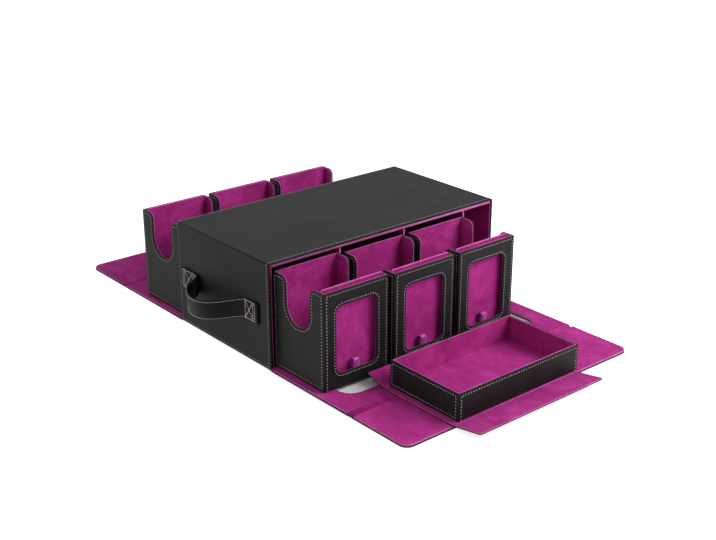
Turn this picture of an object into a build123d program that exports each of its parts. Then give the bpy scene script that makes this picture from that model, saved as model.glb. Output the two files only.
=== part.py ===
from build123d import *
from math import cos, exp, pi, radians, sin
import os

os.makedirs("parts", exist_ok=True)

# Trading card drawer box, laid open. Millimetres.
# Origin: centre of the casing's underside. +X to the right along the front, -Y is the front, +Z up.

# Casing
case_width = 350.0
case_depth = 185.0
case_height = 130.0
shell_wall = 2.0            # board under leatherette
case_lining_side = 3.0
case_lining_top = 3.3
case_lining_floor = 1.8
case_edge_radius = 2.5
case_rim_radius = 0.8
case_lining_setback = 0.4   # lining stops this far inside each open side

# Bays: three for the deck boxes and one for the tray
divider_wall = 3.0
divider_setback = 1.0
tray_bay_width = 44.0
row_wall = 3.0              # between the front and the rear row of bays
bays_per_row = 3

# Deck boxes
deck_side_play = 1.8333     # between a box and each divider
deck_depth = 90.0
deck_height = 115.2
deck_wall = 2.0
deck_lining = 1.2
deck_front_lining = 0.9
deck_corner_radius = 1.5
deck_floor_gap = 0.3        # running clearance over the casing's floor
front_deck_out = (86.0, 90.5, 90.0)   # how far each front box stands out, left to right
front_deck_shift = (1.4, -1.4, -1.4)  # sideways play taken up
rear_deck_out = 92.0

window_width = 57.0
window_height = 80.0
window_bottom = 17.0        # over the box's underside
window_radius = 8.0
card_slot = 4.4
backing_wall = 2.6
backing_rise = 2.2          # the backing stands this far over the box's rim
ribbon_width = 9.0
ribbon_wall = 0.8
ribbon_show = 11.0          # stands this far over the window's lower edge

notch_width = 43.0
notch_depth = 52.7
notch_lip_radius = 8.0

# Flaps
flap_board = 2.6
flap_lining = 1.2
flap_length = 226.0         # from the casing to the free edge
flap_crease_at = 139.0      # crease centre, from the casing
crease_width = 7.0
hinge_width = 3.0
hinge_cloth = 0.8
flap_corner_radius = 11.0
flap_lining_inset = 1.0
fold_gap = 0.3              # clearance where panels turn past each other

flap_window_width = 300.0
flap_window_near = 24.0     # from the casing
flap_window_far = 106.5
flap_window_radius = 18.0

# Closure: magnets in the flaps, steel plates in the casing's top
magnet_radius = 7.0
magnet_wall = 1.5
magnet_edge = 16.0          # from the flap's free edge
magnet_spacing = 220.0
closed_crease_out = 2.0     # the crease stands this far off the casing when the flaps are shut
keeper_radius = 9.0
keeper_wall = 0.8

# Handle strap on the left end
strap_width = 24.5
strap_wall = 2.6
strap_rear_end = 81.0       # along Y
strap_rear_foot = 54.0
strap_front_foot = -45.0
strap_front_end = -72.1
strap_bulge = 34.0
strap_droop = 10.0
strap_rear_height = 62.5
strap_front_height = 65.0
strap_foot_ease = 0.05      # share of the loop over which it leaves the wall
strap_stations = 20
slit_width = 6.0
slit_depth = 1.4
slit_edge_gap = 0.8         # over and under the strap
slit_floor_gap = 0.2

# Tray
tray_length = 186.0
tray_width = 106.0
tray_height = 32.3
tray_wall = 1.8
tray_lining = 1.2
tray_corner_radius = 1.5
tray_left = -104.0
tray_front_out = 226.9      # from the casing's front

# Cover under the tray
cover_board = 1.5
cover_lining = 0.7
cover_left = -110.6
cover_length = 190.6
cover_crease_gap = 0.9      # from the tray's walls to the crease lines
cover_back_strip = 29.4
cover_back_rise = 15.6      # degrees
cover_front_strip = 38.0
cover_front_rise = 9.7
cover_fold_gap = 0.35
cover_corner_radius = 2.0
cover_lining_inset = 0.6

# Worked out from the sizes above
half_depth = case_depth / 2
inner_left = -case_width / 2 + shell_wall + case_lining_side
inner_right = -inner_left
inner_floor = shell_wall + case_lining_floor
inner_top = case_height - shell_wall - case_lining_top
tray_divider_x = inner_right - tray_bay_width - divider_wall / 2
bay_pitch = (tray_divider_x + divider_wall / 2 - inner_left) / bays_per_row
bay_centres = [inner_left + bay_pitch * (i + 0.5) - divider_wall / 2 for i in range(bays_per_row)]
deck_width = bay_pitch - divider_wall - 2 * deck_side_play
deck_bottom = inner_floor + deck_floor_gap
deck_front_wall = deck_wall + deck_front_lining
backing_at = deck_front_wall + card_slot
flap_top = flap_board + flap_lining
cover_top = flap_top + cover_board + cover_lining
tray_front = -half_depth - tray_front_out


def save(part, name):
    part.label = name
    export_step(part, f"parts/{name}.step")


def side_plane(side, distance=0.0, height=0.0):
    """Plan frame at an open side: x along the flap, y outwards from the casing."""
    y = side * (half_depth + distance)
    return Plane(origin=(0, y, height), x_dir=(side, 0, 0), z_dir=(0, 0, 1))


# ---- casing ----------------------------------------------------------------

end_plane = Plane(origin=(0, half_depth, 0), x_dir=(1, 0, 0), z_dir=(0, -1, 0))
slit_y = strap_front_end + strap_wall - slit_width / 2 + slit_edge_gap / 2
slit_plane = Plane(origin=(-case_width / 2, slit_y, strap_front_height), x_dir=(0, 1, 0), z_dir=(1, 0, 0))

with BuildPart() as casing_shell:
    with BuildSketch(end_plane):
        with Locations((0, case_height / 2)):
            RectangleRounded(case_width, case_height, case_edge_radius)
            Rectangle(case_width - 2 * shell_wall, case_height - 2 * shell_wall, mode=Mode.SUBTRACT)
    extrude(amount=case_depth)
    rims = casing_shell.faces().filter_by(Axis.Y).sort_by(Axis.Y)
    fillet(rims[0].outer_wire().edges() + rims[-1].outer_wire().edges(), radius=case_rim_radius)
    with BuildSketch(slit_plane):
        RectangleRounded(slit_width, strap_width + 2 * slit_edge_gap, slit_width / 3)
    extrude(amount=slit_depth, mode=Mode.SUBTRACT)
save(casing_shell.part, "casing_shell")

lining_depth = case_depth - 2 * case_lining_setback
magnet_at = flap_length - magnet_edge
keeper_y = half_depth + closed_crease_out - (magnet_at - flap_crease_at)
keeper_top = case_height - shell_wall

with BuildPart() as casing_lining:
    with BuildSketch(Plane(origin=(0, lining_depth / 2, 0), x_dir=(1, 0, 0), z_dir=(0, -1, 0))):
        with Locations((0, case_height / 2)):
            Rectangle(case_width - 2 * shell_wall, case_height - 2 * shell_wall)
        with Locations((0, (inner_floor + inner_top) / 2)):
            Rectangle(inner_right - inner_left, inner_top - inner_floor, mode=Mode.SUBTRACT)
    extrude(amount=lining_depth)
    with BuildSketch(Plane.XY.offset(keeper_top)):
        with GridLocations(magnet_spacing, 2 * keeper_y, 2, 2):
            Circle(keeper_radius)
    extrude(amount=-keeper_wall, mode=Mode.SUBTRACT)
save(casing_lining.part, "casing_lining")

with BuildPart() as keeper_plates:
    with BuildSketch(Plane.XY.offset(keeper_top)):
        with GridLocations(magnet_spacing, 2 * keeper_y, 2, 2):
            Circle(keeper_radius)
    extrude(amount=-keeper_wall)
save(keeper_plates.part, "keeper_plates")

row_wall_right = tray_divider_x - divider_wall / 2
with BuildPart() as row_partition:
    with BuildSketch(Plane.XY.offset(inner_floor)):
        with Locations(((inner_left + row_wall_right) / 2, 0)):
            Rectangle(row_wall_right - inner_left, row_wall)
    extrude(amount=inner_top - inner_floor)
save(row_partition.part, "row_partition")

divider_length = half_depth - row_wall / 2 - divider_setback
divider_y = row_wall / 2 + divider_length / 2
for side, side_name in ((-1, "front"), (1, "rear")):
    for i in range(bays_per_row - 1):
        with BuildPart() as divider:
            with BuildSketch(Plane.XY.offset(inner_floor)):
                with Locations((inner_left + bay_pitch * (i + 1) - divider_wall / 2, side * divider_y)):
                    Rectangle(divider_wall, divider_length)
            extrude(amount=inner_top - inner_floor)
        save(divider.part, f"{side_name}_divider_{i + 1}")

with BuildPart() as tray_bay_wall:
    with BuildSketch(Plane.XY.offset(inner_floor)):
        with Locations((tray_divider_x, 0)):
            Rectangle(divider_wall, case_depth - 2 * divider_setback)
    extrude(amount=inner_top - inner_floor)
save(tray_bay_wall.part, "tray_bay_wall")


# ---- handle strap ----------------------------------------------------------

def strap_lift(u):
    """How far the loop stands off the wall, from 0 to 1, along its span u."""
    ease_in = 1 - exp(-(u / strap_foot_ease) ** 2)
    ease_out = 1 - exp(-((1 - u) / strap_foot_ease) ** 2)
    return sin(pi * u) * ease_in * ease_out


def strap_point(u):
    y = strap_rear_foot + (strap_front_foot - strap_rear_foot) * u
    height = strap_rear_height + (strap_front_height - strap_rear_height) * u
    lift = strap_lift(u)
    return Vector(-case_width / 2 - strap_wall / 2 - strap_bulge * lift, y, height - strap_droop * lift)


wall_x = -case_width / 2 - strap_wall / 2
rear_end = Vector(wall_x, strap_rear_end, strap_rear_height)
front_end = Vector(wall_x, strap_front_end, strap_front_height)
strap_line = [rear_end] + [strap_point(i / strap_stations) for i in range(strap_stations + 1)] + [front_end]

with BuildPart() as handle_strap:
    for i, point in enumerate(strap_line):
        before = strap_line[max(i - 1, 0)]
        after = strap_line[min(i + 1, len(strap_line) - 1)]
        along = Vector(after.X - before.X, after.Y - before.Y, 0).normalized()
        outward = Vector(along.Y, -along.X, 0)
        with BuildSketch(Plane(origin=point, x_dir=outward, z_dir=along)):
            Rectangle(strap_wall, strap_width)
    loft(ruled=True)
    # The front end turns into the slit
    with BuildSketch(Plane.XY.offset(strap_front_height - strap_width / 2)):
        tongue = slit_depth - slit_floor_gap
        with Locations((-case_width / 2 + (tongue - strap_wall) / 2, strap_front_end + strap_wall / 2)):
            Rectangle(strap_wall + tongue, strap_wall)
    extrude(amount=strap_width)
save(handle_strap.part, "handle_strap")


# ---- flaps -----------------------------------------------------------------

inner_start = hinge_width
inner_end = flap_crease_at - crease_width / 2
outer_start = flap_crease_at + crease_width / 2

for side, side_name in ((-1, "front"), (1, "rear")):
    has_window = side == -1
    inner_middle = (inner_start + inner_end) / 2
    inner_length = inner_end - inner_start
    outer_middle = (outer_start + flap_length) / 2
    outer_length = flap_length - outer_start
    window_middle = (flap_window_near + flap_window_far) / 2
    window_length = flap_window_far - flap_window_near

    with BuildPart() as hinge_strip:
        with BuildSketch(side_plane(side)):
            with Locations((0, (hinge_width - fold_gap) / 2)):
                Rectangle(case_width, hinge_width - fold_gap)
        extrude(amount=hinge_cloth)
    save(hinge_strip.part, f"{side_name}_flap_hinge_strip")

    for layer, base, height, inset in (("panel", 0.0, flap_board, 0.0),
                                       ("lining", flap_board, flap_lining, flap_lining_inset)):
        with BuildPart() as inner_layer:
            with BuildSketch(side_plane(side, inner_middle, base)):
                Rectangle(case_width - 2 * inset, inner_length - 2 * inset)
            extrude(amount=height)
            if has_window:
                with BuildSketch(side_plane(side, window_middle, base)):
                    RectangleRounded(flap_window_width, window_length, flap_window_radius)
                extrude(amount=height, mode=Mode.SUBTRACT)
        save(inner_layer.part, f"{side_name}_flap_inner_{layer}")

        with BuildPart() as outer_layer:
            with BuildSketch(side_plane(side, outer_middle, base)) as outer_outline:
                Rectangle(case_width - 2 * inset, outer_length - 2 * inset)
                free_corners = outer_outline.vertices().group_by(Axis.Y)[-1]
                fillet(free_corners, radius=flap_corner_radius - inset)
            extrude(amount=height)
            if layer == "panel":
                with BuildSketch(side_plane(side, magnet_at, flap_board)):
                    with GridLocations(magnet_spacing, 1, 2, 1):
                        Circle(magnet_radius)
                extrude(amount=-magnet_wall, mode=Mode.SUBTRACT)
        save(outer_layer.part, f"{side_name}_flap_outer_{layer}")

    with BuildPart() as crease_strip:
        with BuildSketch(side_plane(side, flap_crease_at - fold_gap / 2)):
            Rectangle(case_width, crease_width - fold_gap)
        extrude(amount=hinge_cloth)
    save(crease_strip.part, f"{side_name}_flap_crease_strip")

    with BuildPart() as magnets:
        with BuildSketch(side_plane(side, magnet_at, flap_board)):
            with GridLocations(magnet_spacing, 1, 2, 1):
                Circle(magnet_radius)
        extrude(amount=-magnet_wall)
    save(magnets.part, f"{side_name}_flap_magnets")


# ---- deck boxes ------------------------------------------------------------

def notch_outline(frame):
    """Finger notch of the side walls, drawn on the box's middle plane."""
    sides = Plane(origin=frame.origin, x_dir=frame.y_dir, z_dir=frame.x_dir)
    half = notch_width / 2
    lip = notch_lip_radius
    top = deck_height
    round_centre = top - notch_depth + half
    middle = deck_depth / 2
    with BuildSketch(sides) as outline:
        with BuildLine():
            CenterArc((middle - half - lip, top - lip), lip, 90, -90)
            Line((middle - half, top - lip), (middle - half, round_centre))
            CenterArc((middle, round_centre), half, 180, 180)
            Line((middle + half, round_centre), (middle + half, top - lip))
            CenterArc((middle + half + lip, top - lip), lip, 180, -90)
            Polyline((middle + half + lip, top), (middle + half + lip, top + lip),
                     (middle - half - lip, top + lip), (middle - half - lip, top))
        make_face()
    return outline.sketch


def window_outline(frame):
    """Card window, drawn on the front."""
    front = Plane(origin=frame.origin, x_dir=frame.x_dir, z_dir=-frame.y_dir)
    with BuildSketch(front) as outline:
        with Locations((0, window_bottom + window_height / 2)):
            RectangleRounded(window_width, window_height, window_radius)
    return outline.sketch


def deck_box(frame, name):
    """One deck box. The frame stands at the front edge of its underside: x across, y to the back."""
    room = deck_width - 2 * deck_wall
    notch = notch_outline(frame)
    window = window_outline(frame)
    with BuildPart() as shell:
        with BuildSketch(frame):
            with Locations((0, deck_depth / 2)):
                RectangleRounded(deck_width, deck_depth, deck_corner_radius)
        extrude(amount=deck_height)
        with BuildSketch(frame.offset(deck_wall)):
            with Locations((0, deck_depth / 2)):
                Rectangle(room, deck_depth - 2 * deck_wall)
        extrude(amount=deck_height, mode=Mode.SUBTRACT)
        extrude(notch, amount=deck_width, both=True, mode=Mode.SUBTRACT)
        extrude(window, amount=-deck_wall, mode=Mode.SUBTRACT)
    save(shell.part, f"{name}_shell")

    lined = deck_depth - deck_front_wall - deck_wall - deck_lining
    with BuildPart() as lining:
        with BuildSketch(frame.offset(deck_wall)):
            with Locations((0, deck_depth / 2)):
                Rectangle(room, deck_depth - 2 * deck_wall)
        extrude(amount=deck_height - deck_wall)
        with BuildSketch(frame.offset(deck_wall + deck_lining)):
            with Locations((0, deck_front_wall + lined / 2)):
                Rectangle(room - 2 * deck_lining, lined)
        extrude(amount=deck_height, mode=Mode.SUBTRACT)
        extrude(notch, amount=deck_width, both=True, mode=Mode.SUBTRACT)
        extrude(window, amount=-deck_front_wall, mode=Mode.SUBTRACT)
    save(lining.part, f"{name}_lining")

    slot_floor = deck_wall + deck_lining
    with BuildPart() as backing:
        with BuildSketch(frame.offset(slot_floor)):
            with Locations((0, backing_at + backing_wall / 2)):
                Rectangle(room - 2 * deck_lining, backing_wall)
        extrude(amount=deck_height + backing_rise - slot_floor)
    save(backing.part, f"{name}_backing")

    with BuildPart() as ribbon:
        with BuildSketch(frame.offset(slot_floor)):
            with Locations((0, backing_at - ribbon_wall / 2)):
                Rectangle(ribbon_width, ribbon_wall)
        extrude(amount=window_bottom + ribbon_show - slot_floor)
    save(ribbon.part, f"{name}_ribbon")


for i, centre in enumerate(bay_centres):
    front_edge = -half_depth - front_deck_out[i]
    front_frame = Plane(origin=(centre + front_deck_shift[i], front_edge, deck_bottom),
                        x_dir=(1, 0, 0), z_dir=(0, 0, 1))
    deck_box(front_frame, f"front_deck_{i + 1}")
    rear_frame = Plane(origin=(centre, half_depth + rear_deck_out, deck_bottom),
                       x_dir=(-1, 0, 0), z_dir=(0, 0, 1))
    deck_box(rear_frame, f"rear_deck_{i + 1}")


# ---- tray ------------------------------------------------------------------

tray_middle = (tray_left + tray_length / 2, tray_front + tray_width / 2)
tray_back = tray_front + tray_width

with BuildPart() as tray_shell:
    with BuildSketch(Plane.XY.offset(cover_top)):
        with Locations(tray_middle):
            RectangleRounded(tray_length, tray_width, tray_corner_radius)
    extrude(amount=tray_height)
    with BuildSketch(Plane.XY.offset(cover_top + tray_wall)):
        with Locations(tray_middle):
            Rectangle(tray_length - 2 * tray_wall, tray_width - 2 * tray_wall)
    extrude(amount=tray_height, mode=Mode.SUBTRACT)
save(tray_shell.part, "tray_shell")

with BuildPart() as tray_liner:
    with BuildSketch(Plane.XY.offset(cover_top + tray_wall)):
        with Locations(tray_middle):
            Rectangle(tray_length - 2 * tray_wall, tray_width - 2 * tray_wall)
    extrude(amount=tray_height - tray_wall)
    with BuildSketch(Plane.XY.offset(cover_top + tray_wall + tray_lining)):
        with Locations(tray_middle):
            Rectangle(tray_length - 2 * (tray_wall + tray_lining), tray_width - 2 * (tray_wall + tray_lining))
    extrude(amount=tray_height, mode=Mode.SUBTRACT)
save(tray_liner.part, "tray_lining")


# ---- cover -----------------------------------------------------------------

cover_front_crease = tray_front - cover_crease_gap
cover_back_crease = tray_back + cover_crease_gap
cover_x = cover_left + cover_length / 2
cover_base_width = cover_back_crease - cover_front_crease
cover_base_y = (cover_back_crease + cover_front_crease) / 2

for layer, base, height, inset in (("panel", flap_top, cover_board, 0.0),
                                   ("lining", flap_top + cover_board, cover_lining, cover_lining_inset)):
    with BuildPart() as base_layer:
        with BuildSketch(Plane.XY.offset(base)):
            with Locations((cover_x, cover_base_y)):
                Rectangle(cover_length - 2 * inset, cover_base_width)
        extrude(amount=height)
    save(base_layer.part, f"cover_base_{layer}")

    for side, name, crease, length, rise in (
            (1, "back", cover_back_crease, cover_back_strip, cover_back_rise),
            (-1, "front", cover_front_crease, cover_front_strip, cover_front_rise)):
        turn = radians(rise)
        # Leaning frame of the strip: y runs outwards and up from the crease
        outwards = Vector(0, side * cos(turn), sin(turn))
        strip_frame = Plane(origin=(cover_x, crease, cover_top), x_dir=(side, 0, 0),
                            z_dir=Vector(side, 0, 0).cross(outwards))
        start = cover_fold_gap
        depth_down = cover_top - base
        with BuildPart() as strip_layer:
            with BuildSketch(strip_frame.offset(-depth_down)) as strip_outline:
                with Locations((0, (start + length - inset) / 2)):
                    Rectangle(cover_length - 2 * inset, length - inset - start)
                free_corners = strip_outline.vertices().group_by(Axis.Y)[-1]
                fillet(free_corners, radius=cover_corner_radius - inset)
            extrude(amount=height)
        save(strip_layer.part, f"cover_{name}_strip_{layer}")
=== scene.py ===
import math

import bmesh
import bpy
from mathutils import Matrix, Vector


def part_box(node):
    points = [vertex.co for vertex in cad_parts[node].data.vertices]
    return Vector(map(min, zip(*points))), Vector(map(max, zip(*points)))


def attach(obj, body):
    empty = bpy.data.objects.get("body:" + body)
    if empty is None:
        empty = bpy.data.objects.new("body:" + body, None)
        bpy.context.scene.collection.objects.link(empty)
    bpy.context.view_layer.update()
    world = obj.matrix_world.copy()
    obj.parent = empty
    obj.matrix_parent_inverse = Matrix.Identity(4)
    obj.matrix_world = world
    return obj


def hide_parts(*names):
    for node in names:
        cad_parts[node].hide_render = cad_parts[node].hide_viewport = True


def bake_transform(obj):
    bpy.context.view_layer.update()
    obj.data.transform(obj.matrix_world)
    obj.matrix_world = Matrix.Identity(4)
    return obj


# Trading card drawer box, laid open. Boards are drawn in millimetres and scaled once.
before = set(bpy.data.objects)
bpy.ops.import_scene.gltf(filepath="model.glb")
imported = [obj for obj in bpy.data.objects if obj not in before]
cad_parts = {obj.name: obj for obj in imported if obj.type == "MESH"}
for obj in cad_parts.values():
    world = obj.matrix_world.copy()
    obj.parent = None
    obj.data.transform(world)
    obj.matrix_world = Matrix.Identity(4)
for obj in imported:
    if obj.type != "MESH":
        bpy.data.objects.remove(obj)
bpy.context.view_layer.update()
mm = 0.001
scene = bpy.context.scene
pi = math.pi


def hexColour(code):
    # sRGB hex to linear
    parts = [int(code[i:i + 2], 16) / 255 for i in (1, 3, 5)]
    linear = [c / 12.92 if c <= 0.04045 else ((c + 0.055) / 1.055) ** 2.4 for c in parts]
    return (*linear, 1.0)


def setNode(tree, node, settings=None, links=None):
    # settings: attribute or socket name to value; links: socket name to an output socket
    for key, value in (settings or {}).items():
        if isinstance(key, int) or key in node.inputs:
            node.inputs[key].default_value = value
        else:
            setattr(node, key, value)
    for key, output in (links or {}).items():
        tree.links.new(output, node.inputs[key])
    return node


def addNode(tree, kind, settings=None, links=None):
    return setNode(tree, tree.nodes.new(kind), settings, links)


def setStops(ramp, stops):
    elements = ramp.color_ramp.elements
    while len(elements) < len(stops):
        elements.new(0.5)
    for element, (place, colour) in zip(elements, stops):
        element.position = place
        element.color = hexColour(colour)
    return ramp.outputs["Color"]


def meshFrom(piece, name):
    mesh = bpy.data.meshes.new(name)
    piece.to_mesh(mesh)
    piece.free()
    return mesh


def linkObject(name, data):
    made = bpy.data.objects.new(name, data)
    scene.collection.objects.link(made)
    return made


def newMaterial(name):
    material = bpy.data.materials.new(name)
    material.use_nodes = True
    tree = material.node_tree
    shader = tree.nodes["Principled BSDF"]
    coords = addNode(tree, "ShaderNodeTexCoord").outputs["Object"]
    return material, tree, shader, coords


def boxMm(node):
    low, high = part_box(node)
    return low / mm, high / mm


leatherLook = {
    "dark": "#141212",
    "base": "#191717",
    "light": "#201e1e",
    "grainMm": 1.3,         # pebble of the embossed grain
    "poreMm": 0.45,
    "wrinkleMm": 46.0,
    "roughness": 0.58,
    "ior": 1.46,
    "specular": 0.19,       # the embossed skin scatters most of its shine
    "foldDepthMm": 1.6,
    "grainDepthMm": 0.16,
    "poreDepthMm": 0.05,
}

# the case's leatherette made darker and less shiny for the strap
strapLook = dict(leatherLook, dark="#0b0a0b", base="#0f0e0f", light="#151415", wrinkleMm=18.0, specular=0.14)


def makeLeatherette(name, look):
    # PU leatherette, embossed and matt: fine pebbles that break up a soft broad shine
    material, tree, shader, coords = newMaterial(name)
    pebble = addNode(tree, "ShaderNodeTexVoronoi", {"feature": "SMOOTH_F1", "Scale": 1 / (look["grainMm"] * mm),
                                                    "Smoothness": 0.6}, {"Vector": coords})
    pore = addNode(tree, "ShaderNodeTexNoise", {"Scale": 1 / (look["poreMm"] * mm), "Detail": 2.0},
                   {"Vector": coords})
    cloud = addNode(tree, "ShaderNodeTexNoise", {"Scale": 1 / (look["wrinkleMm"] * mm), "Detail": 4.0,
                                                 "Roughness": 0.55, "Distortion": 0.6}, {"Vector": coords})
    tone = addNode(tree, "ShaderNodeMath", {"operation": "MULTIPLY_ADD", 1: 0.25},
                   {0: pebble.outputs["Distance"], 2: cloud.outputs["Fac"]})
    ramp = addNode(tree, "ShaderNodeValToRGB", links={"Fac": tone.outputs[0]})
    colour = setStops(ramp, [(0.32, look["dark"]), (0.6, look["base"]), (0.9, look["light"])])
    rough = addNode(tree, "ShaderNodeMapRange", {"To Min": look["roughness"] - 0.07,
                                                 "To Max": look["roughness"] + 0.1},
                    {"Value": cloud.outputs["Fac"]})
    folds = addNode(tree, "ShaderNodeBump", {"Strength": 0.5, "Distance": look["foldDepthMm"] * mm},
                    {"Height": cloud.outputs["Fac"]})
    pebbles = addNode(tree, "ShaderNodeBump", {"Strength": 0.5, "Distance": look["grainDepthMm"] * mm,
                                               "invert": True},
                      {"Height": pebble.outputs["Distance"], "Normal": folds.outputs["Normal"]})
    pores = addNode(tree, "ShaderNodeBump", {"Strength": 0.3, "Distance": look["poreDepthMm"] * mm},
                    {"Height": pore.outputs["Fac"], "Normal": pebbles.outputs["Normal"]})
    setNode(tree, shader, {"IOR": look["ior"], "Specular IOR Level": look["specular"]},
            {"Base Color": colour, "Roughness": rough.outputs["Result"], "Normal": pores.outputs["Normal"]})
    return material


suedeLook = {
    "deep": "#871760",
    "base": "#a5257c",
    "light": "#b93790",
    # the two edge tones: lighter pinks, a painted highlight where the turned edges catch the light
    "edge": "#c46aa9",
    "edgeHighlightDeep": "#ab4a8f",
    "napMm": 34.0,          # size of the brushed patches
    "streakMm": 7.0,
    "fibreMm": 0.7,
    "roughness": 0.92,
    "specular": 0.2,
    "sheen": 0.12,
    "sheenRoughness": 0.45,
    "sheenTint": "#e59ad0",
    "waveDepthMm": 0.5,
    "fibreDepthMm": 0.18,
}


def makeSuede(name, look, tones):
    # microfibre suede: a short nap, brushed lighter and darker in patches, with no shine
    material, tree, shader, coords = newMaterial(name)
    stretched = addNode(tree, "ShaderNodeMapping", {"Scale": (1.0, 0.55, 1.0), "Rotation": (0.0, 0.0, 0.6)},
                        {"Vector": coords})
    nap = addNode(tree, "ShaderNodeTexNoise", {"Scale": 1 / (look["napMm"] * mm), "Detail": 5.0,
                                               "Roughness": 0.6, "Distortion": 0.8},
                  {"Vector": stretched.outputs["Vector"]})
    streak = addNode(tree, "ShaderNodeTexNoise", {"Scale": 1 / (look["streakMm"] * mm), "Detail": 3.0,
                                                  "Distortion": 1.2}, {"Vector": stretched.outputs["Vector"]})
    fibre = addNode(tree, "ShaderNodeTexNoise", {"Scale": 1 / (look["fibreMm"] * mm), "Detail": 2.0},
                    {"Vector": coords})
    mixed = addNode(tree, "ShaderNodeMath", {"operation": "MULTIPLY_ADD", 1: 0.35},
                    {0: streak.outputs["Fac"], 2: nap.outputs["Fac"]})
    speck = addNode(tree, "ShaderNodeMath", {"operation": "MULTIPLY_ADD", 1: 0.22},
                    {0: fibre.outputs["Fac"], 2: mixed.outputs[0]})
    colour = setStops(addNode(tree, "ShaderNodeValToRGB", links={"Fac": speck.outputs[0]}), tones)
    waves = addNode(tree, "ShaderNodeBump", {"Strength": 0.4, "Distance": look["waveDepthMm"] * mm},
                    {"Height": mixed.outputs[0]})
    fuzz = addNode(tree, "ShaderNodeBump", {"Strength": 0.6, "Distance": look["fibreDepthMm"] * mm},
                   {"Height": fibre.outputs["Fac"], "Normal": waves.outputs["Normal"]})
    setNode(tree, shader, {"Roughness": look["roughness"], "Specular IOR Level": look["specular"],
                           "Sheen Weight": look["sheen"], "Sheen Roughness": look["sheenRoughness"],
                           "Sheen Tint": hexColour(look["sheenTint"])},
            {"Base Color": colour, "Normal": fuzz.outputs["Normal"]})
    return material


threadLook = {
    "twistMm": 0.9,
    "twistDepthMm": 0.1,
    "roughness": 0.6,
}


def makeThread(name, light, dark, look):
    # bonded polyester sewing thread: a twisted strand with a faint gloss
    material, tree, shader, coords = newMaterial(name)
    twist = addNode(tree, "ShaderNodeTexNoise", {"Scale": 1 / (look["twistMm"] * mm), "Detail": 2.0},
                    {"Vector": coords})
    ramp = addNode(tree, "ShaderNodeValToRGB", links={"Fac": twist.outputs["Fac"]})
    colour = setStops(ramp, [(0.35, dark), (0.65, light)])
    bump = addNode(tree, "ShaderNodeBump", {"Strength": 0.4, "Distance": look["twistDepthMm"] * mm},
                   {"Height": twist.outputs["Fac"]})
    setNode(tree, shader, {"Roughness": look["roughness"]},
            {"Base Color": colour, "Normal": bump.outputs["Normal"]})
    return material


satinLook = {
    "light": "#b41c9c",
    "dark": "#8d1278",
    "weftMm": 4.0,          # drawn far coarser than real cross threads, so that it shows
    "weftDepthMm": 0.08,
    "roughness": 0.38,
    "sheen": 0.3,
}


def makeSatin(name, look):
    # woven satin ribbon: fine cross threads and a silky shine
    material, tree, shader, coords = newMaterial(name)
    weft = addNode(tree, "ShaderNodeTexWave", {"wave_type": "BANDS", "bands_direction": "Z",
                                               "Scale": 1 / (look["weftMm"] * mm), "Distortion": 0.6},
                   {"Vector": coords})
    ramp = addNode(tree, "ShaderNodeValToRGB", links={"Fac": weft.outputs["Fac"]})
    colour = setStops(ramp, [(0.2, look["dark"]), (0.8, look["light"])])
    bump = addNode(tree, "ShaderNodeBump", {"Strength": 0.3, "Distance": look["weftDepthMm"] * mm},
                   {"Height": weft.outputs["Fac"]})
    setNode(tree, shader, {"Roughness": look["roughness"], "Sheen Weight": look["sheen"]},
            {"Base Color": colour, "Normal": bump.outputs["Normal"]})
    return material


leatherette = makeLeatherette("leatherette", leatherLook)
strapLeatherette = makeLeatherette("strapLeatherette", strapLook)
suede = makeSuede("suedeLining", suedeLook,
                  [(0.45, suedeLook["deep"]), (0.78, suedeLook["base"]), (1.0, suedeLook["light"])])
# lighter copy of the suede for the rim faces: painted highlight on the turned edges
suedeEdgeHighlight = makeSuede("suedePaintedHighlightEdge", suedeLook, [(0.5, suedeLook["edgeHighlightDeep"]), (0.95, suedeLook["edge"])])
greyThread = makeThread("polyesterThreadGrey", "#dad6d9", "#aaa4a9", threadLook)
pinkThread = makeThread("polyesterThreadPink", "#c05fa8", "#9a3f83", threadLook)
strapThread = makeThread("polyesterThreadStrap", "#f4eaf2", "#d3c1cf", threadLook)
caseThread = makeThread("polyesterThreadCase", "#c6b8bf", "#95858e", threadLook)
satin = makeSatin("satinRibbon", satinLook)
# hole pierced by the needle: a black dot between two stitches, painted shade for the dark inside the hole
needleHolePaintedShade = bpy.data.materials.new("needleHoleShade")
needleHolePaintedShade.use_nodes = True
needleHolePaintedShade.node_tree.nodes["Principled BSDF"].inputs["Base Color"].default_value = hexColour("#050405")
print("materials made")


def arcPoints(centre, radius, startDegrees, endDegrees, steps=6):
    points = []
    for i in range(steps + 1):
        turn = math.radians(startDegrees + (endDegrees - startDegrees) * i / steps)
        points.append((centre[0] + radius * math.cos(turn), centre[1] + radius * math.sin(turn)))
    return points


def roundRect(x0, y0, x1, y1, radii=(0, 0, 0, 0), steps=6):
    # radii: lower left, lower right, upper right, upper left
    corners = ((x0, y0, 180, 1, 1), (x1, y0, 270, -1, 1), (x1, y1, 0, -1, -1), (x0, y1, 90, 1, -1))
    points = []
    for (x, y, start, sx, sy), radius in zip(corners, radii):
        if radius <= 0:
            points.append((x, y))
        else:
            points += arcPoints((x + sx * radius, y + sy * radius), radius, start, start + 90, steps)
    return points


def smoothThrough(points, samples):
    # Catmull-Rom line through the points
    line = []
    for i in range(len(points) - 1):
        a, b = points[max(i - 1, 0)], points[i]
        c, d = points[i + 1], points[min(i + 2, len(points) - 1)]
        for k in range(samples):
            t = k / samples
            line.append(0.5 * (2 * b + (c - a) * t + (2 * a - 5 * b + 4 * c - d) * t * t
                               + (3 * b - a - 3 * c + d) * t ** 3))
    line.append(points[-1])
    return line


def panelPlace(origin, across, up=(0, 0, 1)):
    # across and up lie in the board, and its thickness grows along across x up
    across, up = Vector(across), Vector(up)
    place = Matrix((across, up, across.cross(up))).transposed().to_4x4()
    place.translation = Vector(origin)
    return place


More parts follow.
